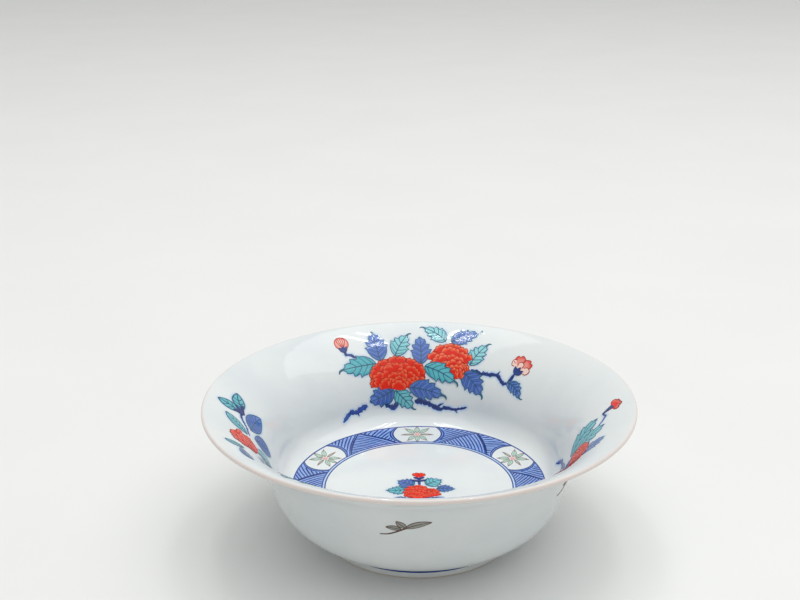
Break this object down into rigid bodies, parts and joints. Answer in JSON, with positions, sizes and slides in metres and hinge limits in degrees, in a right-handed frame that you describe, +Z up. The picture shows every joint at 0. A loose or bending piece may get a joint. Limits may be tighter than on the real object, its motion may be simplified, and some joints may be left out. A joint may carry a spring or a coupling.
{
  "type": "footed sweets bowl",
  "caption": "Round porcelain serving bowl with a dished floor, flared rim, turned foot ring and raised painted sprays inside.",
  "frame": {"origin": "on the bowl's axis, in the plane of the foot ring's standing edge", "axes": "+Z up along the bowl's axis, +Y towards the wall with the full peony spray, -Y towards the viewer"},
  "size_m": [0.188, 0.188, 0.0645],
  "materials": {
    "porcelain": "clear gloss glaze over white porcelain",
    "foot_porcelain": "clear gloss glaze, bare biscuit on the standing edge",
    "cobalt_wash": "pale cobalt wash under gloss glaze, hatched",
    "cobalt_line": "dark cobalt line under gloss glaze",
    "red_enamel": "raised iron red enamel, semi-gloss",
    "pink_enamel": "thin iron red enamel over white, semi-gloss",
    "green_enamel": "raised translucent blue-green enamel, gloss",
    "pale_green_enamel": "thin pale green enamel, gloss",
    "blue_enamel": "cobalt blue leaf colour under gloss glaze",
    "sprig_enamel": "dark brown line with a thin grey-green wash, gloss"
  },
  "bodies": {
    "root": {"bowl_body": "porcelain", "foot_ring": "foot_porcelain", "foot_line": "cobalt_line", "band_ground": "cobalt_wash", "band_lines": "cobalt_line", "medallion_rims": "cobalt_line", "medallion_petals": "pale_green_enamel", "medallion_hearts": "pink_enamel", "centre_flowers": "red_enamel", "centre_green_leaves": "green_enamel", "centre_blue_leaves": "blue_enamel", "centre_stems": "cobalt_line", "back_flowers": "red_enamel", "back_buds": "pink_enamel", "back_green_leaves": "green_enamel", "back_blue_leaves": "blue_enamel", "back_branches": "cobalt_line", "right_flowers": "red_enamel", "right_buds": "pink_enamel", "right_green_leaves": "green_enamel", "right_blue_leaves": "blue_enamel", "right_branches": "cobalt_line", "left_flowers": "red_enamel", "left_buds": "green_enamel", "left_green_leaves": "green_enamel", "left_blue_leaves": "blue_enamel", "left_branches": "cobalt_line", "outside_sprigs": "sprig_enamel"}
  },
  "joints": []
}
